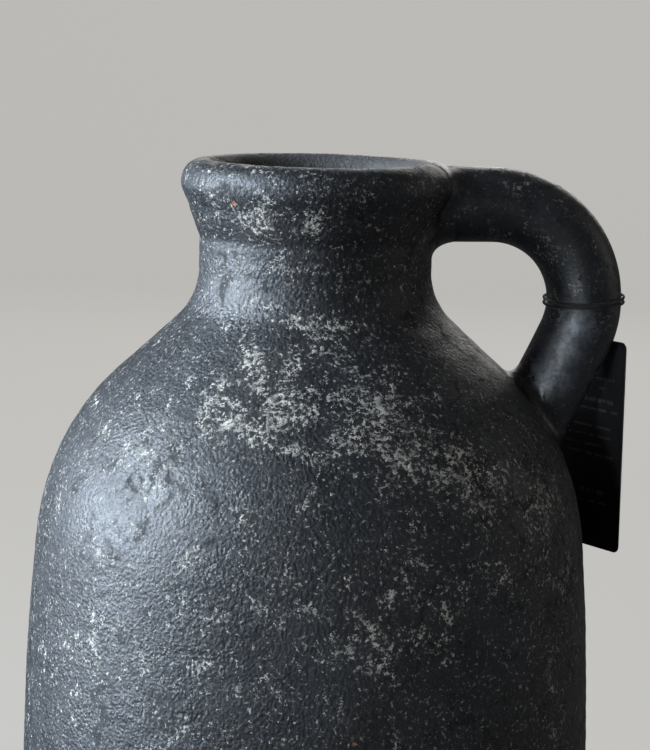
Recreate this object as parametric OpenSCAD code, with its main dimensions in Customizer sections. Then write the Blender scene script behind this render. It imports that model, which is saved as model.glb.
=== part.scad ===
// Black clay jug with a loop handle, a cord tied round the handle and a hang tag on it.
// The origin is the middle of the base, where the jug stands. +Z is up and the handle points to +X.

/* [Jug] */
// Radius of the foot, where the wall would meet the table
foot_r = 97; // [85:1:110]
// Widest radius, at the belly
belly_r = 119.1; // [105:0.1:144]
// Height of the widest place
belly_z = 66; // [50:1:90]
// Height where the wall turns in to the shoulder
shoulder_z = 194.6; // [160:1:235]
// How much narrower the wall is there than at the belly
wall_taper = 5.3; // [2:0.1:8]
// Radius of the shoulder's curve
shoulder_curve_r = 105; // [90:1:115]
// Steepness of the shoulder's slope, from the vertical
slope_a = 47.5; // [44:0.1:52]
// Outer radius of the neck
neck_r = 47.7; // [42:0.1:52]
// Radius of the hollow curve between shoulder and neck
neck_curve_r = 28; // [16:0.5:32]
// Height of the straight neck
neck_h = 13; // [8:0.5:24]
// Radius of the straight mouth
mouth_r = 37.4; // [31:0.1:41]
// Thickness of the wall
wall = 8.5; // [6:0.1:10.2]
// Thickness of the base
base_t = 10; // [7:0.5:14]

/* [Rim] */
// Widest radius of the rolled rim
rim_r = 55.6; // [53:0.1:60]
// Height of the rim, with its sloping underside
rim_h = 31.5; // [28:0.5:38]
// How far the handle's top runs below the rim's
rim_step = 1.5; // [1.3:0.1:3]
// How deep the handle's end is set into the rim
seat_depth = 3.6; // [2:0.1:4]

/* [Handle] */
// Diameter of the handle's round rod
handle_d = 31; // [25:0.5:37.5]
// How far the handle reaches past the belly
handle_proud = 8.9; // [5:0.1:14]
// Radius of the bend, along the middle of the rod
bend_r = 39; // [34:0.5:44]
// How far the lower run leans in from the vertical
lean_a = 25; // [20:1:30]
// How far the pressed clay spreads round the handle's ends
lute_w = 7; // [4:0.5:10]
// How far along the handle the pressed clay reaches
lute_h = 13; // [8:0.5:16]

/* [Cord] */
// Diameter of the cord where it is tied round the handle
wrap_d = 1.8; // [1.2:0.1:2.4]
// Diameter of the doubled cord that the tag hangs on
drop_d = 1.4; // [1:0.1:1.8]
// Depth of the cord below the top of the rim
wrap_drop = 56; // [53:0.5:58]
// Distance between the cord's two turns
wrap_pitch = 3; // [2.6:0.1:4]
// Gap between the handle and the cord
wrap_gap = 0.7; // [0.7:0.05:1]
// Where the hitch sits round the handle, from the jug's far side
hitch_a = 67; // [60:1:70]
// Diameter of the hitch
hitch_d = 4; // [3.4:0.1:4.6]

/* [Tag] */
// Width of the card
tag_w = 45; // [36:1:46]
// Height of the card
tag_h = 90; // [75:1:95]
// Thickness of the card
tag_t = 0.6; // [0.4:0.1:1]
// Radius of the card's corners
tag_corner_r = 3; // [1:0.5:6]
// Diameter of the card's hole
tag_hole_d = 5; // [4.5:0.1:6]
// Distance of the hole's centre below the card's top edge
tag_hole_drop = 6; // [5:0.5:9]
// Gap between the card's inner edge and the jug's wall
tag_clear = 1.2; // [1:0.1:6]

/* [Hidden] */
$fn = 96;

// Steps of an arc in an outline, in degrees
arc_step = 4;
// Radius of the rounded edge at the foot, outside and inside
heel_r = 6;
heel_in_r = 12;
// How far a shape that only cuts reaches past what it cuts
over = 1;

// The wide curve from the foot up to the belly, which it meets upright
belly_curve_r = (pow(belly_z, 2) + pow(belly_r - foot_r, 2)) / (2 * (belly_r - foot_r));
belly_c = [belly_r - belly_curve_r, belly_z];
// The long curve from the belly up to the shoulder
wall_curve_r = (pow(shoulder_z - belly_z, 2) + pow(wall_taper, 2)) / (2 * wall_taper);
wall_curve_a = asin((shoulder_z - belly_z) / wall_curve_r);
wall_c = [belly_r - wall_curve_r, belly_z];
// The shoulder's curve, and where the straight slope starts
shoulder_c = wall_c + (wall_curve_r - shoulder_curve_r) * [cos(wall_curve_a), sin(wall_curve_a)];
slope_n = [cos(slope_a), sin(slope_a)];
slope_start = shoulder_c + shoulder_curve_r * slope_n;

// Height of the centre of a hollow curve that touches the slope through p and an upright wall
function hollow_z(x, r, p) = p.y + (r - slope_n.x * (x - p.x)) / slope_n.y;

neck_z = hollow_z(neck_r + neck_curve_r, neck_curve_r, slope_start);
// The inside's hollow curve is wider than the outside's by the wall's thickness
neck_in_r = neck_curve_r + wall;
neck_in_z = hollow_z(mouth_r + neck_in_r, neck_in_r, slope_start - wall * slope_n);
// Where the rim's clay starts, and the whole height
rim_z = neck_z + neck_h;
jug_h = rim_z + rim_h;
// The bead that rolls over the rim, as wide as the rim's wall, and where the bevel below touches it
bead_r = (rim_r - mouth_r) / 2;
bead_c = [mouth_r + bead_r, jug_h - bead_r];
bevel = [neck_r, rim_z] - bead_c;
bevel_a = atan2(bevel.y, bevel.x) + acos(bead_r / norm(bevel));
// Height where the lower and upper wall are joined
wall_joint_z = (belly_z + shoulder_z) / 2;

// The two straight runs are a little thicker than the bend, and lap into it
run_extra = 0.2;
run_r = handle_d / 2 + run_extra;
run_lap = 1;
// Middle of the handle's straight upper run and of its bend
run_z = jug_h - handle_d / 2 - rim_step;
bend_z = run_z - bend_r;
bend_x = belly_r + handle_proud - handle_d / 2 - bend_r;
// Where the handle's seat in the rim starts
seat_x = rim_r - seat_depth;
// Where the bend ends and the lower run starts, and which way it goes
lower_p = [bend_x + bend_r * cos(lean_a), bend_z - bend_r * sin(lean_a)];
lower_way = [-sin(lean_a), -cos(lean_a)];
// How far along the lower run its middle meets the shoulder's curve
lower_b = lower_way * (lower_p - shoulder_c);
lower_c = (lower_p - shoulder_c) * (lower_p - shoulder_c) - pow(shoulder_curve_r, 2);
reach = -lower_b - sqrt(pow(lower_b, 2) - lower_c);
// The lower run goes on this far before the shoulder cuts it off
run_sink = handle_d;
// How thick the pressed clay is at its thin edge, along the handle
lute_edge = 0.5;
// At the rim the pressed clay stops half way up the step to the rim's top
lute_top_z = jug_h - rim_step / 2;

// The turns of cord lie round the bend, where the rod is close to upright
wrap_z = jug_h - wrap_drop;
wrap_x = bend_x + sqrt(pow(bend_r, 2) - pow(bend_z - wrap_z, 2));
wrap_in_r = handle_d / 2 + wrap_gap;
wrap_out_r = wrap_in_r + wrap_d;
// The hitch bites a little way into the turns
hitch_bite = 0.6;
hang_r = wrap_out_r + hitch_d / 2 - hitch_bite;
hang_p = [wrap_x + hang_r * cos(hitch_a), hang_r * sin(hitch_a)];
hitch_h = wrap_pitch + wrap_d + 2;
hitch_low = wrap_z - hitch_h / 2;
// Facets round the cord's own section
turn_sides = 32;

// The drop's top is this far below the hitch, and it swings about a point a little below its top
drop_gap = 0.3;
drop_z = hitch_low - drop_gap;
// The doubled cord's route below its top: how far out from the card, how far along it, and how high.
// The strands leave the hitch side by side, and one passes each side of the card, under its hole
half_route = [
    [0, 0.8, 0], [0, 0.8, -1.6], [0.5, 0.75, -4], [1.2, 0.6, -7], [2.0, 0.4, -10], [2.7, 0.2, -13],
    [2.9, 0.1, -15], [2.8, 0, -16.5], [2.2, 0, -18], [1.2, 0, -18.8]
];
route_low = 19;
cord_route = concat(
    half_route,
    [[0, 0, -route_low]],
    [for (i = [len(half_route) - 1 : -1 : 0]) [-half_route[i].x, -half_route[i].y, half_route[i].z]]
);
cord_sides = 8;
// The card hangs with the top of its hole just above the cord
tag_gap = 0.3;
tag_hole_z = drop_z - route_low + drop_d / 2 + tag_gap - tag_hole_d / 2;
tag_top_z = tag_hole_z + tag_hole_drop;
// The card turns until its inner edge is tag_clear from the wall, as wide as it is at the shoulder's foot
tag_near_r = belly_r - wall_taper + tag_t / 2 + tag_clear;
tag_turn = asin((hang_p * hang_p + pow(tag_w / 2, 2) - pow(tag_near_r, 2)) / (norm(hang_p) * tag_w));
tag_a = atan2(hang_p.y, hang_p.x) + tag_turn;

clay = [0.13, 0.13, 0.14];
clay_light = [0.17, 0.17, 0.18];
cord_black = [0.05, 0.05, 0.05];
card_black = [0.08, 0.08, 0.09];

// Points along an arc about c, from angle a0 to a1
function arc(c, r, a0, a1) =
    let (n = max(1, ceil(abs(a1 - a0) / arc_step)))
    [for (i = [0 : n]) let (a = a0 + (a1 - a0) * i / n) c + r * [cos(a), sin(a)]];

// A wall's side from its heel to its slope: inset 0 gives the outside, the wall's thickness the inside
function side_points(inset, floor_z, heel) =
    let (
        from_c = belly_curve_r - inset - heel,
        a = asin((belly_z - floor_z - heel) / from_c),
        heel_c = belly_c + from_c * [cos(a), -sin(a)]
    )
    concat(
        [[0, floor_z]],
        arc(heel_c, heel, -90, -a),
        arc(belly_c, belly_curve_r - inset, -a + arc_step, 0),
        arc(wall_c, wall_curve_r - inset, wall_curve_a / 2, wall_curve_a),
        arc(shoulder_c, shoulder_curve_r - inset, wall_curve_a + arc_step, slope_a)
    );

function outside_points() = concat(
    side_points(0, 0, heel_r),
    arc([neck_r + neck_curve_r, neck_z], neck_curve_r, 180 + slope_a, 180),
    [[neck_r, rim_z]],
    arc(bead_c, bead_r, bevel_a, 90),
    [[0, jug_h]]
);

function inside_points() = concat(
    side_points(wall, base_t, heel_in_r),
    arc([mouth_r + neck_in_r, neck_in_z], neck_in_r, 180 + slope_a, 180),
    [[mouth_r, jug_h + over], [0, jug_h + over]]
);

// The whole jug's outside as one solid, which cuts the handle's ends to fit
module jug_envelope() {
    rotate_extrude() polygon(outside_points());
}

module jug_hollow() {
    rotate_extrude() polygon(inside_points());
    // The rim's inner edge is rounded as its outer edge is
    rotate_extrude() difference() {
        translate([0, bead_c.y]) square([bead_c.x, bead_r + over]);
        translate(bead_c) circle(r = bead_r);
    }
}

// The part of the jug's clay between two heights
module clay_between(z0, z1) {
    intersection() {
        difference() {
            jug_envelope();
            jug_hollow();
        }
        translate([0, 0, z0]) cylinder(h = z1 - z0, r = belly_r + over);
    }
}

module handle_upper_run() {
    translate([seat_x, 0, run_z]) rotate([0, 90, 0]) cylinder(h = bend_x - seat_x + run_lap, r = run_r);
}

module handle_bend() {
    translate([bend_x, 0, bend_z]) rotate([90, 0, 0]) rotate([0, 0, -lean_a])
        rotate_extrude(angle = 90 + lean_a) translate([bend_r, 0]) circle(d = handle_d);
}

// Moves what is drawn up the Z axis to lie down the handle's lower run
module at_lower_run() {
    translate([lower_p.x, 0, lower_p.y]) rotate([0, 180 + lean_a, 0]) children();
}

module handle_lower_run() {
    at_lower_run() translate([0, 0, -run_lap]) cylinder(h = run_lap + reach + run_sink, r = run_r);
}

module base_disc() {
    color(clay) clay_between(0, base_t);
}

module lower_wall() {
    color(clay) clay_between(base_t, wall_joint_z);
}

module upper_wall() {
    color(clay_light) clay_between(wall_joint_z, neck_z);
}

module neck() {
    color(clay) clay_between(neck_z, rim_z);
}

module rim() {
    color(clay_light) difference() {
        clay_between(rim_z, jug_h);
        handle_upper_run();
    }
}

module handle() {
    color(clay) union() {
        handle_upper_run();
        handle_bend();
        difference() {
            handle_lower_run();
            jug_envelope();
        }
    }
}

// Clay pressed round each end of the handle: a cone round the rod, cut by the jug and by the rod
module rim_lute() {
    color(clay_light) difference() {
        translate([seat_x, 0, run_z]) rotate([0, 90, 0])
            cylinder(h = lute_h, r1 = run_r + lute_w, r2 = run_r + lute_edge);
        handle_upper_run();
        handle_bend();
        jug_envelope();
        translate([0, -belly_r, lute_top_z]) cube(2 * belly_r);
    }
}

module shoulder_lute() {
    color(clay_light) difference() {
        at_lower_run() translate([0, 0, reach - lute_h])
            cylinder(h = 2 * lute_h, r1 = run_r + lute_edge, r2 = run_r + lute_w);
        handle_lower_run();
        jug_envelope();
    }
}

module cord_turns() {
    for (side = [-1, 1])
        translate([wrap_x, 0, wrap_z + side * wrap_pitch / 2]) rotate_extrude()
            translate([wrap_in_r + wrap_d / 2, 0]) circle(d = wrap_d, $fn = turn_sides);
}

module cord_wrap() {
    color(cord_black) cord_turns();
}

module cord_hitch() {
    color(cord_black) difference() {
        union() {
            translate([hang_p.x, hang_p.y, hitch_low]) cylinder(h = hitch_h - hitch_d / 2, d = hitch_d);
            translate([hang_p.x, hang_p.y, hitch_low + hitch_h - hitch_d / 2]) sphere(d = hitch_d);
        }
        cord_turns();
    }
}

// Moves what is drawn with the card's face along X to the card's place below the hitch
module at_tag() {
    translate([hang_p.x, hang_p.y, 0]) rotate([0, 0, tag_a]) children();
}

// A round tube along a route that never runs along Y. Its ends are cut level
function route_way(path, i) =
    i == 0 ? [0, 0, -1] : i == len(path) - 1 ? [0, 0, 1]
    : let (step = path[i + 1] - path[i - 1]) step / norm(step);

module tube(path, d) {
    rings = [for (i = [0 : len(path) - 1]) let (
        way = route_way(path, i),
        across = cross([0, 1, 0], way),
        side = across / norm(across),
        up = cross(way, side)
    ) [for (k = [0 : cord_sides - 1]) let (a = 360 * k / cord_sides)
        path[i] + d / 2 * (cos(a) * side + sin(a) * up)]];
    last = (len(path) - 1) * cord_sides;
    polyhedron(
        points = [for (ring = rings) each ring],
        faces = concat(
            [[for (k = [0 : cord_sides - 1]) k]],
            [for (i = [0 : len(path) - 2], k = [0 : cord_sides - 1]) let (
                a = i * cord_sides + k, b = i * cord_sides + (k + 1) % cord_sides
            ) [a, a + cord_sides, b + cord_sides, b]],
            [[for (k = [cord_sides - 1 : -1 : 0]) last + k]]
        )
    );
}

module tag_cord() {
    color(cord_black) at_tag() translate([0, 0, drop_z]) tube(cord_route, drop_d);
}

module card_outline() {
    square([tag_w - 2 * tag_corner_r, tag_h], center = true);
    square([tag_w, tag_h - 2 * tag_corner_r], center = true);
    for (x = [-1, 1], y = [-1, 1])
        translate([x * (tag_w / 2 - tag_corner_r), y * (tag_h / 2 - tag_corner_r)])
            circle(r = tag_corner_r);
}

module hang_tag() {
    color(card_black) at_tag() translate([-tag_t / 2, 0, tag_top_z - tag_h / 2])
        rotate([90, 0, 90]) linear_extrude(tag_t) difference() {
            card_outline();
            translate([0, tag_h / 2 - tag_hole_drop]) circle(d = tag_hole_d);
        }
}

base_disc();
lower_wall();
upper_wall();
neck();
rim();
handle();
rim_lute();
shoulder_lute();
cord_wrap();
cord_hitch();
tag_cord();
hang_tag();
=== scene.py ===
# A black-coated clay jug with a loop handle, and a card tag hung from the handle by a cord.
# Lengths are in millimetres until mesh_piece() turns them into metres.
import math

import bmesh
import bpy
import numpy as np
from mathutils import Matrix, Vector, noise


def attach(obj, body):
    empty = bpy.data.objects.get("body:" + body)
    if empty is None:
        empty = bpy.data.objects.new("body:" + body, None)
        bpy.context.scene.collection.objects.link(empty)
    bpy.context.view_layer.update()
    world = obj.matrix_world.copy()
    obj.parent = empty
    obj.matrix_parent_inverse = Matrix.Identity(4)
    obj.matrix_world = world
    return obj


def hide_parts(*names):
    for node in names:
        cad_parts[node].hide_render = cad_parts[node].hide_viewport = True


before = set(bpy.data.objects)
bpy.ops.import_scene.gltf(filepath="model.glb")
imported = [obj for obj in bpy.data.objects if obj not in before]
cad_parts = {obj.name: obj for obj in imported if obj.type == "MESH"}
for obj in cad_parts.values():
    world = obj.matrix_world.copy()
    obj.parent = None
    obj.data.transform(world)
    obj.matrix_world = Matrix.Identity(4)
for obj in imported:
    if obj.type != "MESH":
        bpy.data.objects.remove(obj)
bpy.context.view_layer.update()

MM = 0.001

# ---------------------------------------------------------------- sizes, as the part has them

FOOT_R = 97.0
BELLY_R = 119.1
BELLY_Z = 66.0
SHOULDER_Z = 194.6
WALL_TAPER = 5.3
SHOULDER_CURVE_R = 105.0
SLOPE_A = math.radians(47.5)
NECK_R = 47.7
NECK_CURVE_R = 28.0
NECK_H = 13.0
MOUTH_R = 37.4
WALL = 8.5
BASE_T = 10.0
HEEL_R = 6.0
HEEL_IN_R = 12.0
RIM_R = 55.6
RIM_H = 31.5
RIM_STEP = 1.5

HANDLE_R = 15.5
HANDLE_PROUD = 8.9
BEND_R = 39.0
LEAN_A = math.radians(25)

WRAP_DROP = 56.0
WRAP_PITCH = 3.0
WRAP_R = 0.9
HITCH_A = math.radians(67)
HANG_R = 19.4
DROP_R = 0.7
TAG_W = 45.0
TAG_H = 90.0
TAG_T = 0.6
TAG_CORNER_R = 3.0
TAG_HOLE_R = 2.5
TAG_HOLE_DROP = 6.0

# ---------------------------------------------------------------- the jug's outline, as (r, z)


def polar(a):
    return np.array([math.cos(a), math.sin(a)])


def arc(centre, r, a0, a1, gap=1.6):
    """Points along an arc, about gap apart, from angle a0 to a1 in radians."""
    n = max(2, int(abs(a1 - a0) * r / gap))
    return [np.array(centre) + r * polar(a0 + (a1 - a0) * i / n) for i in range(n + 1)]


def line(a, b, gap=1.6):
    """Points from a up to, and not including, b."""
    a, b = np.array(a, float), np.array(b, float)
    n = max(1, int(np.linalg.norm(b - a) / gap))
    return [a + (b - a) * i / n for i in range(n)]


belly_curve_r = (BELLY_Z**2 + (BELLY_R - FOOT_R) ** 2) / (2 * (BELLY_R - FOOT_R))
belly_c = np.array([BELLY_R - belly_curve_r, BELLY_Z])
wall_curve_r = ((SHOULDER_Z - BELLY_Z) ** 2 + WALL_TAPER**2) / (2 * WALL_TAPER)
wall_curve_a = math.asin((SHOULDER_Z - BELLY_Z) / wall_curve_r)
wall_c = np.array([BELLY_R - wall_curve_r, BELLY_Z])
shoulder_c = wall_c + (wall_curve_r - SHOULDER_CURVE_R) * polar(wall_curve_a)
slope_n = polar(SLOPE_A)
slope_start = shoulder_c + SHOULDER_CURVE_R * slope_n


def hollow_z(x, r, p):
    """Height of the centre of a hollow curve that touches the slope through p and an upright wall."""
    return p[1] + (r - slope_n[0] * (x - p[0])) / slope_n[1]


neck_z = hollow_z(NECK_R + NECK_CURVE_R, NECK_CURVE_R, slope_start)
neck_in_r = NECK_CURVE_R + WALL
neck_in_z = hollow_z(MOUTH_R + neck_in_r, neck_in_r, slope_start - WALL * slope_n)
rim_z = neck_z + NECK_H
jug_h = rim_z + RIM_H
bead_r = (RIM_R - MOUTH_R) / 2
bead_c = np.array([MOUTH_R + bead_r, jug_h - bead_r])
bevel = np.array([NECK_R, rim_z]) - bead_c
bevel_a = math.atan2(bevel[1], bevel[0]) + math.acos(bead_r / np.linalg.norm(bevel))
wall_joint_z = (BELLY_Z + SHOULDER_Z) / 2


def side_points(inset, floor_z, heel, gap):
    """A wall's side, from the edge of its floor to the end of its shoulder's curve."""
    from_c = belly_curve_r - inset - heel
    a = math.asin((BELLY_Z - floor_z - heel) / from_c)
    heel_c = belly_c + from_c * polar(-a)
    return (
        arc(heel_c, heel, -math.pi / 2, -a, gap)[:-1]
        + arc(belly_c, belly_curve_r - inset, -a, 0, gap)[:-1]
        + arc(wall_c, wall_curve_r - inset, 0, wall_curve_a, gap)[:-1]
        + arc(shoulder_c, SHOULDER_CURVE_R - inset, wall_curve_a, SLOPE_A, gap)
    )


def outside_points():
    """The outside from the foot's edge up over the rim to the start of the straight mouth."""
    side = side_points(0, 0, HEEL_R, 2.0)
    neck_c = [NECK_R + NECK_CURVE_R, neck_z]
    hollow = arc(neck_c, NECK_CURVE_R, math.pi + SLOPE_A, math.pi)
    bead = arc(bead_c, bead_r, bevel_a, math.pi, 1.1)
    return (
        side[:-1] + line(side[-1], hollow[0]) + hollow[:-1]
        + line(hollow[-1], [NECK_R, rim_z]) + line([NECK_R, rim_z], bead[0]) + bead
    )


def inside_points():
    """The inside from the floor's edge up to the start of the straight mouth."""
    side = side_points(WALL, BASE_T, HEEL_IN_R, 4.0)
    hollow = arc([MOUTH_R + neck_in_r, neck_in_z], neck_in_r, math.pi + SLOPE_A, math.pi, 2.5)
    slope = line(side[-1], hollow[0], 4.0)
    return side[:-1] + slope + hollow[:-1] + line(hollow[-1], bead_c - [bead_r, 0], 3.0)


outside = outside_points()
inside = inside_points()


# ---------------------------------------------------------------- where the other pieces sit

run_z = jug_h - HANDLE_R - RIM_STEP
bend_c = np.array([BELLY_R + HANDLE_PROUD - HANDLE_R - BEND_R, 0, run_z - BEND_R])
lower_way = np.array([-math.sin(LEAN_A), 0, -math.cos(LEAN_A)])
lower_p = bend_c + BEND_R * np.array([math.cos(LEAN_A), 0, -math.sin(LEAN_A)])

wrap_z = jug_h - WRAP_DROP
wrap_c = np.array([bend_c[0] + math.sqrt(BEND_R**2 - (bend_c[2] - wrap_z) ** 2), 0, wrap_z])
hang_p = wrap_c[:2] + HANG_R * polar(HITCH_A)
hitch_h = WRAP_PITCH + 2 * WRAP_R + 2
hitch_low = wrap_z - hitch_h / 2
drop_z = hitch_low - 0.3

# The doubled cord below the hitch: how far out from the card, how far along it, and how high
half_route = [
    (0, 0.8, 0), (0, 0.8, -1.6), (0.5, 0.75, -4), (1.2, 0.6, -7), (2.0, 0.4, -10), (2.7, 0.2, -13),
    (2.9, 0.1, -15), (2.8, 0, -16.5), (2.2, 0, -18), (1.2, 0, -18.8),
]
ROUTE_LOW = 19.0
cord_route = half_route + [(0, 0, -ROUTE_LOW)] + [(-x, -y, z) for x, y, z in reversed(half_route)]

# The card hangs with the top of its hole just above the cord, and is turned to clear the wall
tag_hole_z = drop_z - ROUTE_LOW + DROP_R + 0.3 - TAG_HOLE_R
tag_top_z = tag_hole_z + TAG_HOLE_DROP
tag_near_r = BELLY_R - WALL_TAPER + TAG_T / 2 + 1.2
tag_turn = math.asin((hang_p @ hang_p + (TAG_W / 2) ** 2 - tag_near_r**2) / (np.linalg.norm(hang_p) * TAG_W))
tag_a = math.atan2(hang_p[1], hang_p[0]) + tag_turn
card_out = np.array([math.cos(tag_a), math.sin(tag_a), 0])
card_along = np.array([-math.sin(tag_a), math.cos(tag_a), 0])


def at_tag(x, y, z):
    """A point given as out from the card, along it and up, at the card's place."""
    return np.array([hang_p[0], hang_p[1], 0]) + x * card_out + y * card_along + np.array([0, 0, z])


# ---------------------------------------------------------------- camera


CAMERA_TURN = math.radians(-5)
CAMERA_OVER_RIM = 66.0
CAMERA_OFF_AXIS = math.radians(0.284)
CAMERA_DOWN = math.radians(8.8)
CAMERA_ROLL = math.radians(1.288)
CAMERA_LENS = 117.1


def make_camera():
    """One metre from the jug's axis, a little to its left and a little above the rim."""
    place = Vector((math.sin(CAMERA_TURN), -math.cos(CAMERA_TURN), (jug_h + CAMERA_OVER_RIM) * MM))
    look = (
        Matrix.Rotation(CAMERA_TURN - CAMERA_OFF_AXIS, 4, "Z")
        @ Matrix.Rotation(math.pi / 2 - CAMERA_DOWN, 4, "X")
        @ Matrix.Rotation(CAMERA_ROLL, 4, "Z")
    )
    data = bpy.data.cameras.new("camera")
    data.lens = CAMERA_LENS
    data.sensor_width = 36
    data.clip_start = 0.05
    camera = bpy.data.objects.new("camera", data)
    camera.matrix_world = Matrix.Translation(place) @ look
    bpy.context.scene.collection.objects.link(camera)
    bpy.context.scene.camera = camera


# ---------------------------------------------------------------- mesh helpers


def mesh_piece(name, points, faces, normals=None):
    """A smooth mesh object from points in millimetres. normals holds one for each corner of each face."""
    mesh = bpy.data.meshes.new(name)
    mesh.from_pydata((np.asarray(points) * MM).tolist(), [], faces)
    mesh.shade_smooth()
    if normals is not None:
        mesh.normals_split_custom_set(normals)
    piece = bpy.data.objects.new(name, mesh)
    bpy.context.scene.collection.objects.link(piece)
    return piece


def bands(rings, segments, cyclic):
    """Quads between rings of points, in the order of the rings. The last joins the first if cyclic."""
    last = rings if cyclic else rings - 1
    return [
        (
            i * segments + j,
            i * segments + (j + 1) % segments,
            (i + 1) % rings * segments + (j + 1) % segments,
            (i + 1) % rings * segments + j,
        )
        for i in range(last)
        for j in range(segments)
    ]


def capped(rings):
    """Points and faces of a tube of rings with a fan at each end."""
    rings = np.asarray(rings)
    count, segments = rings.shape[:2]
    points = list(rings.reshape(-1, 3)) + [rings[0].mean(0), rings[-1].mean(0)]
    first, last = count * segments, count * segments + 1
    end = (count - 1) * segments
    faces = bands(count, segments, False)
    faces += [(first, (j + 1) % segments, j) for j in range(segments)]
    faces += [(last, end + j, end + (j + 1) % segments) for j in range(segments)]
    return points, faces


def joined(name, solids):
    """One piece from several (points, faces) solids."""
    points, faces = [], []
    for some_points, some_faces in solids:
        faces += [tuple(k + len(points) for k in face) for face in some_faces]
        points += list(some_points)
    return mesh_piece(name, points, faces)


def grain(points, size, seed=0.0):
    """Smooth noise from about -1 to 1 at each point, with bumps about size across."""
    return np.array([noise.noise(Vector(p / size) + Vector((seed, seed, seed))) for p in points])


# ---------------------------------------------------------------- the jug's walls

SEGMENTS = 320
# The groove under the rim's roll, and the height above the foot over which the clay's unevenness comes in
GROOVE_Z = 331.0
SETTLE_H = 12.0


def with_height(profile, z):
    """The profile with a point added where it crosses height z, unless it has one there."""
    if min(abs(p[1] - z) for p in profile) < 1e-6:
        return profile
    for i in range(len(profile) - 1):
        a, b = profile[i], profile[i + 1]
        if (a[1] - z) * (b[1] - z) < 0:
            return profile[: i + 1] + [a + (b - a) * (z - a[1]) / (b[1] - a[1])] + profile[i + 1 :]
    return profile


for joint_z in (BASE_T, wall_joint_z, neck_z, rim_z):
    outside = with_height(outside, joint_z)
    inside = with_height(inside, joint_z)
outside_line = np.array(outside)


def profile_normals(profile):
    """Normals of a profile at its points, on its right as it is followed."""
    step = np.gradient(np.array(profile), axis=0)
    step /= np.linalg.norm(step, axis=1)[:, None]
    return np.stack([step[:, 1], -step[:, 0]], 1)


def unevenness(points):
    """How far the hand-made clay stands out from its true outline at each point."""
    slow = grain(points, 60)
    swell = 0.40 * slow + 0.16 * grain(points, 19, 5) + 0.05 * grain(points, 7, 9)
    turning = 0.05 * np.sin(points[:, 2] * 0.8 + 3 * slow)
    depth = 0.45 + 0.3 * grain(points, 30, 2)
    groove = depth * np.exp(-(((points[:, 2] - GROOVE_Z - 1.5 * slow) / 1.8) ** 2))
    return swell + turning - groove


def turned_round(flat):
    """Rows of (r, z) turned round the Z axis, as rings of (x, y, z)."""
    turn = np.linspace(0, 2 * math.pi, SEGMENTS, endpoint=False)
    x = np.outer(flat[:, 0], np.cos(turn))
    y = np.outer(flat[:, 0], np.sin(turn))
    return np.stack([x, y, np.outer(flat[:, 1], np.ones(SEGMENTS))], 2)


def lathe(profile, settle):
    """Rings of points and their normals for a profile. settle is the share of unevenness at each point."""
    grid = turned_round(np.array(profile))
    way = turned_round(profile_normals(profile))
    lift = unevenness(grid.reshape(-1, 3)).reshape(grid.shape[:2]) * settle[:, None]
    grid = grid + way * lift[:, :, None]
    along = np.gradient(grid, axis=0)
    round_it = np.roll(grid, -1, 1) - np.roll(grid, 1, 1)
    normals = np.cross(round_it, along)
    normals /= np.linalg.norm(normals, axis=2)[:, :, None]
    return grid, normals


def wall_section(name, outer, inner, z0, z1, top_open):
    """The clay between two heights. At the rim the inside runs straight on from the outside."""
    (out_grid, out_n, out_z), (in_grid, in_n, in_z) = outer, inner
    a0 = int(np.argmin(abs(out_z - z0)))
    b0 = int(np.argmin(abs(in_z - z0)))
    if top_open:
        a1, b1 = int(np.argmin(abs(out_z - z1))), int(np.argmin(abs(in_z - z1)))
    else:
        a1, b1 = len(out_z) - 1, len(in_z) - 2
    rings = np.concatenate([out_grid[a0 : a1 + 1], in_grid[b0 : b1 + 1][::-1]])
    smooth = np.concatenate([out_n[a0 : a1 + 1], -in_n[b0 : b1 + 1][::-1]])
    count = len(rings)
    cuts = {count - 1: (0, 0, -1)}
    if top_open:
        cuts[a1 - a0] = (0, 0, 1)
    faces = bands(count, SEGMENTS, True)
    corner_normals = smooth.reshape(-1, 3)[np.array(faces)].reshape(-1, SEGMENTS, 4, 3)
    for band, flat in cuts.items():
        corner_normals[band] = flat
    return mesh_piece(name, rings.reshape(-1, 3), faces, corner_normals.reshape(-1, 3))


def base_section(name, outer):
    """The jug's floor: a thick disc with the foot's rounded edge."""
    grid, _, heights = outer
    side = grid[: int(np.argmin(abs(heights - BASE_T))) + 1]
    inward = [side[-1] * [k, k, 1] for k in (0.999, 0.9, 0.6, 0.3, 0.05)]
    under = [side[0] * [k, k, 1] for k in (0.05, 0.3, 0.6, 0.9, 0.999)]
    return mesh_piece(name, *capped(np.concatenate([under, side, inward])))


def make_walls():
    """The jug's five clay sections, from one outline with one unevenness."""
    out_z, in_z = np.array(outside)[:, 1], np.array(inside)[:, 1]
    out_settle = np.clip(out_z / SETTLE_H, 0, 1)
    out_grid, out_n = lathe(outside, out_settle)
    in_grid, in_n = lathe(inside, np.zeros(len(in_z)))
    outer, inner = (out_grid, out_n, out_z), (in_grid, in_n, in_z)
    return {
        "base_disc": base_section("clay_base", outer),
        "lower_wall": wall_section("clay_lower_wall", outer, inner, BASE_T, wall_joint_z, True),
        "upper_wall": wall_section("clay_upper_wall", outer, inner, wall_joint_z, neck_z, True),
        "neck": wall_section("clay_neck", outer, inner, neck_z, rim_z, True),
        "rim": wall_section("clay_rim", outer, inner, rim_z, jug_h, False),
    }


# ---------------------------------------------------------------- the handle and the clay round its ends

ROD_SEGMENTS = 96
# How deep the rod's ends run into the rim and the shoulder, and how near the axis the upper end may come
RIM_SUNK = 1.2
SHOULDER_SUNK = 2.5
ROD_END_R = 47.0


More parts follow.
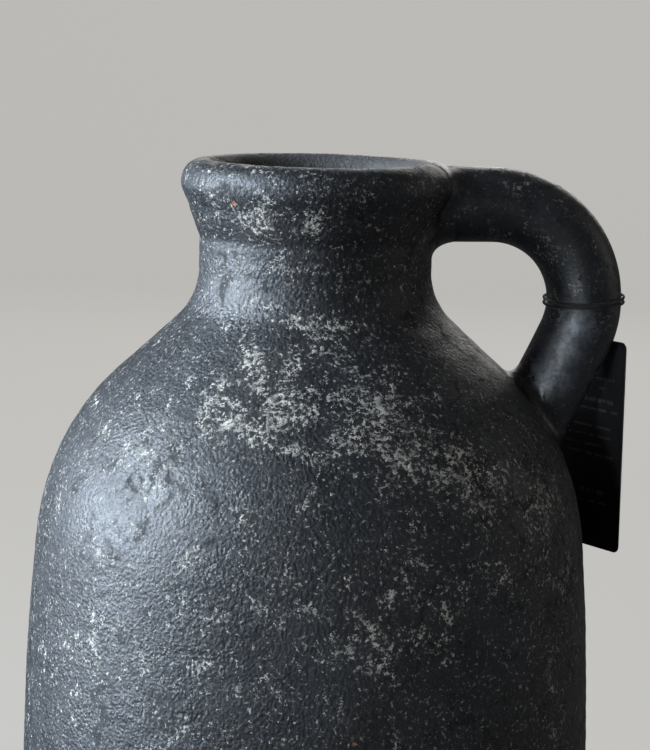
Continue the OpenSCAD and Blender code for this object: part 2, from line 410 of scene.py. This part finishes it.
def nearest_on_jug(points):
    """Nearest points on the jug's outside, the normals there, and how far out each point is."""
    points = np.asarray(points, float)
    r = np.hypot(points[:, 0], points[:, 1])
    query = np.stack([r, points[:, 2]], 1)
    a, step = outside_line[:-1], np.diff(outside_line, axis=0)
    share = ((query[:, None] - a) * step).sum(2) / (step**2).sum(1)
    foot = a + np.clip(share, 0, 1)[:, :, None] * step
    gap = np.linalg.norm(query[:, None] - foot, axis=2)
    best = gap.argmin(1)
    rows = np.arange(len(points))
    foot, way = foot[rows, best], step[best]
    flat = np.stack([way[:, 1], -way[:, 0]], 1) / np.linalg.norm(way, axis=1)[:, None]
    turn = points[:, :2] / np.maximum(r, 1e-9)[:, None]
    normal = np.column_stack([turn * flat[:, :1], flat[:, 1]])
    place = np.column_stack([turn * foot[:, :1], foot[:, 1]])
    place = place + normal * unevenness(place)[:, None]
    return place, normal, ((points - place) * normal).sum(1)


def run_into_jug(points, way, depth, far=70.0):
    """How far each point goes along way until it is depth under the jug's surface."""
    steps = np.arange(0, far, 0.5)
    trail = points[:, None] + steps[None, :, None] * way
    out = nearest_on_jug(trail.reshape(-1, 3))[2].reshape(len(points), -1) + depth
    hit = np.argmax(out < 0, axis=1)
    hit[~(out < 0).any(1)] = len(steps) - 1
    rows = np.arange(len(points))
    before, after = out[rows, hit - 1], out[rows, hit]
    share = np.clip(before / (before - after), 0, 1)
    return steps[hit - 1] + 0.5 * share


def rod_ring(centre, way, radius=HANDLE_R):
    """A ring of the handle's rod. The first point is on the outer side of the bend."""
    turn = np.linspace(0, 2 * math.pi, ROD_SEGMENTS, endpoint=False)[:, None]
    outer = np.array([-way[2], 0, way[0]])
    return centre + radius * (np.cos(turn) * outer + np.sin(turn) * np.array([0, -1, 0]))


def make_handle():
    """The rolled rod from the rim, round the bend and down to the shoulder."""
    rim_way = np.array([-1.0, 0, 0])
    start = rod_ring(bend_c + np.array([0, 0, BEND_R]), -rim_way)
    to_rim = np.minimum(run_into_jug(start, rim_way, RIM_SUNK), start[:, 0] - ROD_END_R)
    rings = [start + rim_way * to_rim[:, None] * k for k in np.linspace(1, 0, 18)[:-1]]
    for a in np.linspace(math.pi / 2, -LEAN_A, 60):
        out = np.array([math.cos(a), 0, math.sin(a)])
        rings.append(rod_ring(bend_c + BEND_R * out, np.array([out[2], 0, -out[0]])))
    to_wall = run_into_jug(rings[-1], lower_way, SHOULDER_SUNK)
    end = rings[-1]
    rings += [end + lower_way * to_wall[:, None] * k for k in np.linspace(0, 1, 28)[1:]]
    rings = np.array(rings)
    middles = rings.mean(1, keepdims=True)
    out = (rings - middles) / np.linalg.norm(rings - middles, axis=2)[:, :, None]
    flat = rings.reshape(-1, 3)
    lift = 0.35 * grain(flat, 34, 3) + 0.14 * grain(flat, 12, 4)
    return mesh_piece("handle_rod", *capped(rings + out * lift.reshape(out.shape[:2])[:, :, None]))


def lute(name, ring, way, along, across, lap, seed):
    """Clay pressed into the corner between the rod and the jug, as one closed ring.

    ring is a ring of the rod and way runs to the jug. along and across are how far the clay
    reaches up the rod and over the jug, and lap how thick it lies there, at each point of ring.
    """
    corner = ring + way * run_into_jug(ring, way, 0.0)[:, None]
    axis = ring.mean(0)
    out = ring - axis
    out /= np.linalg.norm(out, axis=1)[:, None]
    uneven = grain(corner, 9, seed)
    on_rod = corner - way * (along * (1 + 0.25 * uneven))[:, None]
    _, corner_n, _ = nearest_on_jug(corner)
    spread = out - corner_n * (out * corner_n).sum(1)[:, None]
    spread /= np.linalg.norm(spread, axis=1)[:, None]
    on_jug = nearest_on_jug(corner + spread * (across * (1 + 0.3 * uneven))[:, None])[0]
    rows = [on_rod - out * 1.6]
    for k in np.linspace(0, 1, 18):
        point = (1 - k) ** 2 * on_rod + 2 * k * (1 - k) * corner + k**2 * on_jug
        place, normal, gap = nearest_on_jug(point)
        edge = math.sqrt(max(0.0, 1 - k**6))
        least = lap * edge * min(1.0, 3 * k) - 0.4 * (1 - edge)
        lift = np.where(k > 0.15, np.maximum(gap, least), gap)
        point = place + normal * lift[:, None]
        rows.append(point - out * 0.25 * (1 - k) ** 4)
    _, edge_n, _ = nearest_on_jug(on_jug)
    rows.append(on_jug - edge_n * 1.8)
    rows.append(corner - corner_n * 2.5 - out * 1.5)
    return mesh_piece(name, np.array(rows).reshape(-1, 3), bands(len(rows), ROD_SEGMENTS, True))


def make_lutes():
    """The pressed clay at the rim, which laps over its top, and at the shoulder."""
    turn = np.linspace(0, 2 * math.pi, ROD_SEGMENTS, endpoint=False)
    top = np.clip(np.cos(turn), 0, 1)
    under = np.clip(-np.cos(turn), 0, 1)
    rim_ring = rod_ring(bend_c + np.array([0, 0, BEND_R]), np.array([1.0, 0, 0]))
    rim = lute(
        "rim_pressing", rim_ring, np.array([-1.0, 0, 0]),
        8 + 6 * under + 4 * top, 5 + 4 * under + 5 * top, 0.35 + 0.55 * top, 11,
    )
    shoulder = lute(
        "shoulder_pressing", rod_ring(lower_p, lower_way), lower_way,
        5.5 + 4.5 * under, 4.3 + 2.8 * under, np.full(ROD_SEGMENTS, 0.4), 17,
    )
    return rim, shoulder


# ---------------------------------------------------------------- the cord and the card


def smooth_route(points, gap):
    """A smooth curve through the points, as points about gap apart."""
    points = np.array(points, float)
    padded = np.concatenate([[2 * points[0] - points[1]], points, [2 * points[-1] - points[-2]]])
    made = []
    for p0, p1, p2, p3 in zip(padded, padded[1:], padded[2:], padded[3:]):
        n = max(1, round(np.linalg.norm(p2 - p1) / gap))
        for t in np.arange(n) / n:
            made.append(
                0.5 * (2 * p1 + (p2 - p0) * t + (2 * p0 - 5 * p1 + 4 * p2 - p3) * t**2
                       + (3 * p1 - p0 - 3 * p2 + p3) * t**3)
            )
    return np.array(made + [points[-1]])


def rope(route, radius, pitch=2.6, strands=3, sides=21):
    """Points and faces of a laid cord: its strands show as ridges that turn round it."""
    way = np.gradient(route, axis=0)
    way /= np.linalg.norm(way, axis=1)[:, None]
    length = np.concatenate([[0], np.cumsum(np.linalg.norm(np.diff(route, axis=0), axis=1))])
    side = np.cross(way[0], [0.3, 0.2, 1.0])
    turn = np.linspace(0, 2 * math.pi, sides, endpoint=False)
    rings = []
    for centre, d, run in zip(route, way, length):
        side = side - d * (side @ d)
        side /= np.linalg.norm(side)
        lay = turn - 2 * math.pi * run / pitch
        reach = radius * (0.76 + 0.24 * np.abs(np.cos(strands / 2 * lay)))
        out = np.outer(np.cos(turn), side) + np.outer(np.sin(turn), np.cross(d, side))
        rings.append(centre + reach[:, None] * out)
    return capped(rings)


# The braid's own radius, the radius of the turns' middle, and how near the knot the turns end
BRAID_R = 0.66
TURNS_R = HANDLE_R + 0.97
KNOT_A = 0.05


def make_wrap():
    """Two turns of cord, close together, that slant down to the front and rise off the handle at the knot."""
    turns = []
    for side in (-1, 1):
        a = np.linspace(HITCH_A + KNOT_A, HITCH_A + 2 * math.pi - KNOT_A, 260)
        from_knot = np.minimum(a - HITCH_A, HITCH_A + 2 * math.pi - a)
        reach = TURNS_R + 0.5 * np.exp(-from_knot / 0.2)
        apart = 0.60 + 0.45 * np.cos(a) ** 2
        slant = 0.7 * np.cos(a) + 0.95 * np.sin(a)
        route = [wrap_c[0] + reach * np.cos(a), reach * np.sin(a), wrap_z + side * apart + slant]
        turns.append(rope(np.stack(route, 1), BRAID_R))
    return joined("cord_turns_braid", turns)


def make_hitch():
    """The knot behind the handle: three coils round the gathered cord."""
    a = np.linspace(0, 3.4 * 2 * math.pi, 150)
    coil_r = 1.25
    rise = np.linspace(hitch_low + 0.9, hitch_low + hitch_h - 1.2, len(a))
    coils = np.stack([hang_p[0] + coil_r * np.cos(a), hang_p[1] + coil_r * np.sin(a), rise], 1)
    core = [(hang_p[0], hang_p[1], z) for z in np.linspace(hitch_low + 0.1, hitch_low + hitch_h - 0.6, 12)]
    return joined("cord_knot", [rope(coils, 0.72), rope(np.array(core), 1.1, 3.4)])


def make_drop():
    """The loop of cord that the card hangs on."""
    route = smooth_route([at_tag(x, y, drop_z + z) for x, y, z in cord_route], 0.3)
    piece = mesh_piece("tag_loop", *rope(route, DROP_R))
    return piece, route


def card_outline(inset):
    """The card's edge, as (along, up) from its middle, with rounded corners."""
    made = []
    w, h, r = TAG_W / 2 - TAG_CORNER_R, TAG_H / 2 - TAG_CORNER_R, TAG_CORNER_R - inset
    for k, (x, y) in enumerate([(w, h), (-w, h), (-w, -h), (w, -h)]):
        made += arc([x, y], r, k * math.pi / 2, (k + 1) * math.pi / 2, 0.5)
    return made


def card_hole(grow, count):
    """The hole's edge with count points, the first of them to the right of its middle."""
    middle = [0, TAG_H / 2 - TAG_HOLE_DROP]
    return [np.array(middle) + (TAG_HOLE_R + grow) * polar(2 * math.pi * k / count) for k in range(count)]


def make_card():
    """The card with its hole. Its edges are softened, as cut board's are."""
    soft = 0.12
    mesh = bmesh.new()
    loops = {}
    for layer, (x, inset) in enumerate([(-0.5, soft), (-0.5, 0), (0.5, 0), (0.5, soft)]):
        depth = x * (TAG_T if inset else TAG_T - 2 * soft)
        for kind, outline in (("edge", card_outline(inset)), ("hole", card_hole(inset, 40))):
            loops[layer, kind] = [
                mesh.verts.new(Vector(at_tag(depth, y, tag_top_z - TAG_H / 2 + z) * MM)) for y, z in outline
            ]
    for kind in ("edge", "hole"):
        for layer in range(3):
            low, high = loops[layer, kind], loops[layer + 1, kind]
            for i in range(len(low)):
                mesh.faces.new((low[i - 1], low[i], high[i], high[i - 1]))
    for layer in (0, 3):
        rims = [
            mesh.edges.get((loop[i - 1], loop[i])) or mesh.edges.new((loop[i - 1], loop[i]))
            for loop in (loops[layer, "edge"], loops[layer, "hole"])
            for i in range(len(loop))
        ]
        bmesh.ops.triangle_fill(mesh, edges=rims, use_beauty=True)
    bmesh.ops.recalc_face_normals(mesh, faces=mesh.faces)
    data = bpy.data.meshes.new("tag_card")
    mesh.to_mesh(data)
    mesh.free()
    piece = bpy.data.objects.new("tag_card", data)
    bpy.context.scene.collection.objects.link(piece)
    return piece


# ---------------------------------------------------------------- materials


class Graph:
    """A material's nodes, with short calls for the ones used here. Sizes are in millimetres."""

    def __init__(self, name):
        self.material = bpy.data.materials.new(name)
        self.material.use_nodes = True
        self.tree = self.material.node_tree
        self.tree.nodes.clear()
        self.place = self.tree.nodes.new("ShaderNodeTexCoord").outputs["Object"]

    def put(self, socket, value):
        if isinstance(value, bpy.types.NodeSocket):
            self.tree.links.new(value, socket)
        else:
            socket.default_value = value

    def node(self, kind, settings=(), **inputs):
        made = self.tree.nodes.new("ShaderNode" + kind)
        for name, value in dict(settings).items():
            setattr(made, name, value)
        for name, value in inputs.items():
            self.put(made.inputs[name.replace("_", " ")], value)
        return made

    def math(self, operation, a, b=0.0, clamp=False):
        made = self.node("Math", {"operation": operation, "use_clamp": clamp})
        self.put(made.inputs[0], a)
        self.put(made.inputs[1], b)
        return made.outputs[0]

    def span(self, value, low, high, to_low=0.0, to_high=1.0):
        """Value's share of the way from low to high, eased, as a number from to_low to to_high."""
        made = self.node("MapRange", {"interpolation_type": "SMOOTHSTEP"})
        for socket, number in zip(made.inputs, (value, low, high, to_low, to_high)):
            self.put(socket, number)
        return made.outputs[0]

    def noise(self, size, detail=2.0, rough=0.5, bend=0.0, place=None):
        made = self.node("TexNoise", Scale=1000 / size, Detail=detail, Roughness=rough, Distortion=bend)
        self.put(made.inputs["Vector"], place or self.place)
        return made.outputs[0]

    def cells(self, size, place=None):
        made = self.node("TexVoronoi", {"feature": "SMOOTH_F1"}, Scale=1000 / size)
        self.put(made.inputs["Vector"], place or self.place)
        return made.outputs["Distance"]

    def turned(self, angles, scale=(1, 1, 1)):
        """The place, turned and stretched."""
        made = self.node("Mapping", Vector=self.place)
        made.inputs["Rotation"].default_value = angles
        made.inputs["Scale"].default_value = scale
        return made.outputs[0]

    def blend(self, share, a, b):
        made = self.node("Mix", {"data_type": "RGBA"})
        self.put(made.inputs[0], share)
        for socket, colour in ((made.inputs[6], a), (made.inputs[7], b)):
            self.put(socket, colour if isinstance(colour, bpy.types.NodeSocket) else (*colour, 1))
        return made.outputs[2]

    def near(self, point, reach):
        """One at a point and nothing at reach from it."""
        away = self.node("VectorMath", {"operation": "DISTANCE"})
        self.put(away.inputs[0], self.place)
        away.inputs[1].default_value = [x * MM for x in point]
        return self.span(away.outputs["Value"], 0.0, reach * MM, 1.0, 0.0)

    def finish(self, colour, rough, height, **fixed):
        """The shader, with the height in millimetres as its relief."""
        relief = self.node("Bump", Height=height)
        relief.inputs["Strength"].default_value = 1.0
        relief.inputs["Distance"].default_value = MM
        shader = self.node("BsdfPrincipled", Normal=relief.outputs[0])
        self.put(shader.inputs["Base Color"], colour)
        self.put(shader.inputs["Roughness"], rough)
        for name, value in fixed.items():
            shader.inputs[name.replace("_", " ")].default_value = value
        out = self.node("OutputMaterial")
        self.tree.links.new(shader.outputs[0], out.inputs[0])
        return self.material


def on_jug(turn, z, out=0.0):
    """A point on the jug's outside, at an angle from the front towards the handle, in degrees."""
    a = math.radians(turn - 90)
    order = outside_line[:, 1].argsort()
    r = np.interp(z, outside_line[order, 1], outside_line[order, 0]) + out
    return (r * math.cos(a), r * math.sin(a), z)


# Where the pale crust gathers: angle from the front, height, reach and strength
CRUST = [
    (-18, 262, 42, 1.0), (14, 252, 40, 1.0), (30, 236, 34, 0.9), (-40, 240, 30, 0.7), (4, 286, 30, 0.8),
    (52, 226, 34, 0.6), (-30, 331, 26, 1.0), (-8, 327, 20, 0.8), (-34, 345, 18, 0.6), (12, 184, 40, 0.6),
    (58, 184, 26, 0.5), (-52, 160, 34, 0.35), (-26, 140, 30, 0.4), (130, 250, 45, 0.9), (200, 262, 50, 1.0),
    (250, 236, 40, 0.7), (165, 190, 45, 0.6), (215, 331, 28, 0.9), (95, 120, 50, 0.5), (235, 110, 55, 0.5),
    (180, 60, 60, 0.4), (-10, 70, 60, 0.4),
]
# Where a painted highlight lightens the handle's lower limb: a point and how far the highlight reaches from
# it
HANDLE_HIGHLIGHT_SPOTS = [((107, -15, 284), 13), ((103, -15, 275), 12), ((99, -14, 264), 12)]
# Where the coat has chipped through to the red clay: angle, height and reach
CHIPS = [(-42, 335, 2.4), (4, 139, 1.7), (-72, 214, 1.3), (-18, 304, 1.1), (160, 210, 2.0), (230, 334, 2.2)]


def coat_material(name, crust_share, rough_low, pebble_share):
    """Satin slate-black coat over clay, with matt dark patches, pale crust and a pebbled skin."""
    g = Graph(name)
    cloud = g.noise(38, 5, 0.6, 0.4)
    mottle = g.noise(6, 6, 0.75, 0.3)
    gathered = 0.0
    for turn, z, reach, strength in CRUST:
        gathered = g.math("MAXIMUM", gathered, g.math("MULTIPLY", g.near(on_jug(turn, z), reach), strength))
    patch = g.math("ADD", g.noise(13, 6, 0.7, 0.6), g.math("MULTIPLY", gathered, 0.17))
    crust_here = g.span(patch, 0.5, 0.74)
    blobs = g.math("MULTIPLY", g.noise(1.7, 3, 0.7), 0.72)
    blobs = g.math("ADD", blobs, g.math("MULTIPLY", g.noise(0.55, 2), 0.28))
    level = g.math("ADD", blobs, g.math("MULTIPLY", crust_here, 0.125))
    thick = g.math("MULTIPLY", g.span(g.noise(2.6, 3, 0.6), 0.3, 0.5, 0.5, 1.0), crust_share)
    crust = g.math("MULTIPLY", g.span(level, 0.592, 0.642), thick)
    dust = g.math("MULTIPLY", g.span(level, 0.52, 0.61), 0.26 * crust_share)
    near_crust = g.noise(9, 5, 0.7, 0.9, g.turned((0.4, 0.9, 0.2)))
    dark = g.span(g.math("ADD", near_crust, g.math("MULTIPLY", gathered, 0.11)), 0.53, 0.64)

    colour = g.blend(g.span(cloud, 0.35, 0.68), (0.007, 0.008, 0.010), (0.019, 0.021, 0.026))
    colour = g.blend(g.math("MULTIPLY", g.span(mottle, 0.42, 0.72), 0.6), colour, (0.034, 0.037, 0.043))
    colour = g.blend(g.math("MULTIPLY", dark, 0.88), colour, (0.0045, 0.0045, 0.005))
    colour = g.blend(dust, colour, (0.20, 0.195, 0.18))
    pale = g.blend(g.span(g.noise(4, 3), 0.35, 0.65), (0.36, 0.345, 0.31), (0.85, 0.80, 0.69))
    colour = g.blend(crust, colour, pale)
    x, y, z = g.node("SeparateXYZ", Vector=g.place).outputs
    # Painted light: the mouth's inner wall is coloured paler, standing in for the light that falls into the
    # mouth
    from_axis = g.math("SQRT", g.math("ADD", g.math("MULTIPLY", x, x), g.math("MULTIPLY", y, y)))
    inside = g.math("MULTIPLY", g.span(from_axis, 0.0425, 0.0455, 1.0, 0.0), g.span(z, 0.25, 0.3))
    colour = g.blend(g.math("MULTIPLY", inside, 0.8), colour, (0.11, 0.108, 0.102))
    # Painted highlight: the coat is coloured paler and bluish on the handle's lower limb, where the light
    # glints on it
    painted_highlight = 0.0
    for point, reach in HANDLE_HIGHLIGHT_SPOTS:
        painted_highlight = g.math("MAXIMUM", painted_highlight, g.near(point, reach))
    painted_highlight = g.math("MULTIPLY", painted_highlight, g.span(g.noise(3, 4, 0.65), 0.35, 0.62, 0.25, 1.0))
    colour = g.blend(painted_highlight, colour, (0.17, 0.19, 0.22))
    chip = 0.0
    for turn, z, reach in CHIPS:
        chip = g.math("MAXIMUM", chip, g.near(on_jug(turn, z), reach))
    chip = g.span(g.math("ADD", chip, g.math("MULTIPLY", g.noise(1.6, 3), 0.8)), 0.90, 1.0)
    colour = g.blend(chip, colour, (0.40, 0.15, 0.08))

    rough = g.span(g.noise(16, 4, 0.6), 0.3, 0.7, rough_low, rough_low + 0.16)
    rough = g.math("ADD", rough, g.math("MULTIPLY", dark, 0.30))
    rough = g.math("ADD", rough, g.math("MULTIPLY", inside, 0.2))
    rough = g.math("ADD", rough, g.math("MULTIPLY", crust, 0.35), True)

    pebble = g.math("MULTIPLY", g.cells(1.3), 0.30 * pebble_share)
    skin = g.math("MULTIPLY", g.noise(0.9, 3, 0.65), 0.20 * pebble_share)
    drag = g.noise(3.2, 3, 0.6, 0.8, g.turned((0.0, 0.6, 0.3), (1.0, 1.0, 0.45)))
    ridge = g.math("ABSOLUTE", g.math("SUBTRACT", drag, 0.5))
    wrinkle = g.math("MULTIPLY", g.span(ridge, 0.0, 0.035), 0.035 * pebble_share)
    height = g.math("SUBTRACT", g.math("ADD", skin, wrinkle), pebble)
    height = g.math("ADD", height, g.math("MULTIPLY", mottle, 0.35))
    height = g.math("ADD", height, g.math("MULTIPLY", g.span(level, 0.61, 0.72), 0.28))
    height = g.math("SUBTRACT", height, g.math("MULTIPLY", chip, 0.3))
    return g.finish(colour, rough, height, IOR=1.7)


def cord_material():
    """Waxed black cotton: fine fibres on dark strands."""
    g = Graph("black_cotton")
    fibre = g.noise(0.35, 3, 0.6)
    colour = g.blend(g.span(fibre, 0.35, 0.7), (0.006, 0.006, 0.007), (0.028, 0.028, 0.030))
    rough = g.span(fibre, 0.3, 0.7, 0.6, 0.85)
    return g.finish(colour, rough, g.math("MULTIPLY", fibre, 0.12), Sheen_Weight=0.2)


# Lines of print on the card: how far below its top, how thick, and where each starts and ends
PRINT = [
    (17, 1.3, -14, 18), (21, 1.3, -14, 12), (26.5, 2.2, -14, 16), (30.5, 1.3, -14, 19), (38, 1.3, -14, 15),
    (42, 1.3, -14, 18), (46, 1.3, -14, 10), (50, 1.3, -14, 17), (66, 2.4, -6, 12), (70.5, 1.2, -14, 14),
]


def card_material(name, printed):
    """Matt black board with a faint grain. The printed face has broken grey bars and no letters."""
    g = Graph(name)
    grain_of_board = g.noise(0.5, 3, 0.6)
    colour = g.blend(g.span(grain_of_board, 0.3, 0.7), (0.010, 0.010, 0.011), (0.019, 0.019, 0.020))
    scuff = g.span(g.noise(14, 5, 0.7), 0.58, 0.75, 0.0, 0.35)
    colour = g.blend(scuff, colour, (0.05, 0.05, 0.05))
    if printed:
        dot = g.node("VectorMath", {"operation": "DOT_PRODUCT"})
        g.put(dot.inputs[0], g.place)
        dot.inputs[1].default_value = -card_along
        along = g.math("SUBTRACT", dot.outputs["Value"], float(-card_along[:2] @ hang_p) * MM)
        up = g.node("SeparateXYZ", Vector=g.place).outputs["Z"]
        bars = 0.0
        for drop, thick, left, right in PRINT:
            off = g.math("ABSOLUTE", g.math("SUBTRACT", up, (tag_top_z - drop) * MM))
            line_here = g.span(off, thick * 0.15 * MM, thick * 0.6 * MM, 1.0, 0.0)
            side = g.math("ABSOLUTE", g.math("SUBTRACT", along, (left + right) / 2 * MM))
            long_here = g.span(side, ((right - left) / 2 - 0.3) * MM, (right - left) / 2 * MM, 1.0, 0.0)
            bars = g.math("MAXIMUM", bars, g.math("MULTIPLY", line_here, long_here))
        words = g.span(g.noise(2.4, 0, 0.5, 0.0, g.turned((0, 0, 0), (1, 1, 0.5))), 0.36, 0.52)
        colour = g.blend(g.math("MULTIPLY", g.math("MULTIPLY", bars, words), 0.6), colour, (0.20, 0.20, 0.20))
    rough = g.span(grain_of_board, 0.3, 0.7, 0.5, 0.62)
    return g.finish(colour, rough, g.math("MULTIPLY", grain_of_board, 0.02))


def floor_material():
    """Plain pale studio floor, with a glow of its own that keeps it even all round."""
    g = Graph("studio_floor")
    colour = g.blend(g.noise(400, 2), (0.095, 0.093, 0.09), (0.105, 0.103, 0.10))
    return g.finish(
        colour, 0.9, g.math("MULTIPLY", g.noise(3, 2), 0.02), Specular_IOR_Level=0.0,
        Emission_Color=(1.0, 0.975, 0.925, 1), Emission_Strength=0.485,
    )


# ---------------------------------------------------------------- the studio


# The floor in metres: how far it lies flat, the radius of its sweep, its top, and its drop under the foot
FLOOR_FLAT_R = 2.6
SWEEP_R = 0.9
FLOOR_TOP = 3.2
FLOOR_DROP = 0.0004
FLOOR_SEGMENTS = 96


def make_floor():
    """A pale floor that sweeps up all round, far enough out for a camera on any side."""
    profile = [(1.0, 0.0), (FLOOR_FLAT_R, 0.0)]
    for a in np.linspace(0.1, math.pi / 2, 12):
        profile.append((FLOOR_FLAT_R + SWEEP_R * math.sin(a), SWEEP_R - SWEEP_R * math.cos(a)))
    profile.append((FLOOR_FLAT_R + SWEEP_R, FLOOR_TOP))
    turn = np.linspace(0, 2 * math.pi, FLOOR_SEGMENTS, endpoint=False)
    rings = [[(r * math.cos(a), r * math.sin(a), z - FLOOR_DROP) for a in turn] for r, z in profile]
    points = np.array(rings).reshape(-1, 3)
    faces = bands(len(rings), FLOOR_SEGMENTS, False) + [tuple(reversed(range(FLOOR_SEGMENTS)))]
    floor = mesh_piece("studio_floor", points / MM, [tuple(reversed(face)) for face in faces])
    floor.data.materials.append(floor_material())
    floor.visible_diffuse = False
    floor.visible_glossy = False


def area_light(name, turn, rise, away, size, power, colour, middle=(0, 0, 0.22), spread=180):
    """A rectangular light that faces middle, at an angle from the camera's side."""
    a, e = math.radians(turn) + CAMERA_TURN, math.radians(rise)
    way = Vector((math.sin(a) * math.cos(e), -math.cos(a) * math.cos(e), math.sin(e)))
    data = bpy.data.lights.new(name, "AREA")
    data.shape = "RECTANGLE"
    data.size, data.size_y = size
    data.energy = power
    data.color = colour
    data.spread = math.radians(spread)
    light = bpy.data.objects.new(name, data)
    light.location = Vector(middle) + way * away
    light.rotation_mode = "QUATERNION"
    light.rotation_quaternion = way.to_track_quat("Z", "Y")
    light.visible_camera = False
    bpy.context.scene.collection.objects.link(light)


def make_lights():
    """Cool window light from the left, narrow light on the handle, light from behind, and a weak fill."""
    area_light("window_light", -84, 16, 1.35, (1.15, 1.0), 60, (0.74, 0.86, 1.0))
    area_light("front_window", -28, -1, 1.6, (0.28, 0.8), 0.9, (0.84, 0.93, 1.0))
    handle = (0.107, -0.015, 0.277)
    area_light("handle_light", -27, 1, 0.9, (0.05, 0.3), 0.021, (0.84, 0.93, 1.0), handle, 10)
    area_light("back_light", 172, 20, 2.2, (1.6, 0.9), 10, (1.0, 0.98, 0.94))
    area_light("fill_light", 100, 15, 1.9, (0.8, 1.2), 1.0, (1.0, 0.97, 0.90))
    world = bpy.data.worlds.new("surround")
    world.use_nodes = True
    world.node_tree.nodes["Background"].inputs[0].default_value = (0.95, 0.96, 1.0, 1)
    world.node_tree.nodes["Background"].inputs[1].default_value = 0.07
    bpy.context.scene.world = world
    bpy.context.scene.view_settings.view_transform = "Standard"


# ---------------------------------------------------------------- putting it together


def place(piece, node, body, slot, *materials):
    """Gives a piece its materials, and makes it stand for a node and ride on the node's body."""
    for material in materials:
        piece.data.materials.append(material)
    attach(piece, body)
    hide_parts(node)


make_camera()
tag_loop, loop_route = make_drop()
tag_card = make_card()
cotton = cord_material()
place(tag_loop, "tag_cord", "drop", "black_cord", cotton)
board = (card_material("card_plain", False), card_material("card_print", True))
place(tag_card, "hang_tag", "tag", "black_card", *board)
for face in tag_card.data.polygons:
    face.material_index = int(face.normal @ Vector(card_out) < -0.9)
place(make_wrap(), "cord_wrap", "wrap", "black_cord", cotton)
place(make_hitch(), "cord_hitch", "wrap", "black_cord", cotton)

coat = coat_material("slate_coat", 1.0, 0.37, 1.0)
rubbed = coat_material("slate_coat_rubbed", 0.30, 0.23, 0.40)
for node, piece in make_walls().items():
    place(piece, node, "jug", "clay_coat", coat)
place(make_handle(), "handle", "jug", "clay_coat_rubbed", rubbed)
for node, piece in zip(("rim_lute", "shoulder_lute"), make_lutes()):
    place(piece, node, "jug", "clay_coat_rubbed", rubbed)

make_floor()
make_lights()
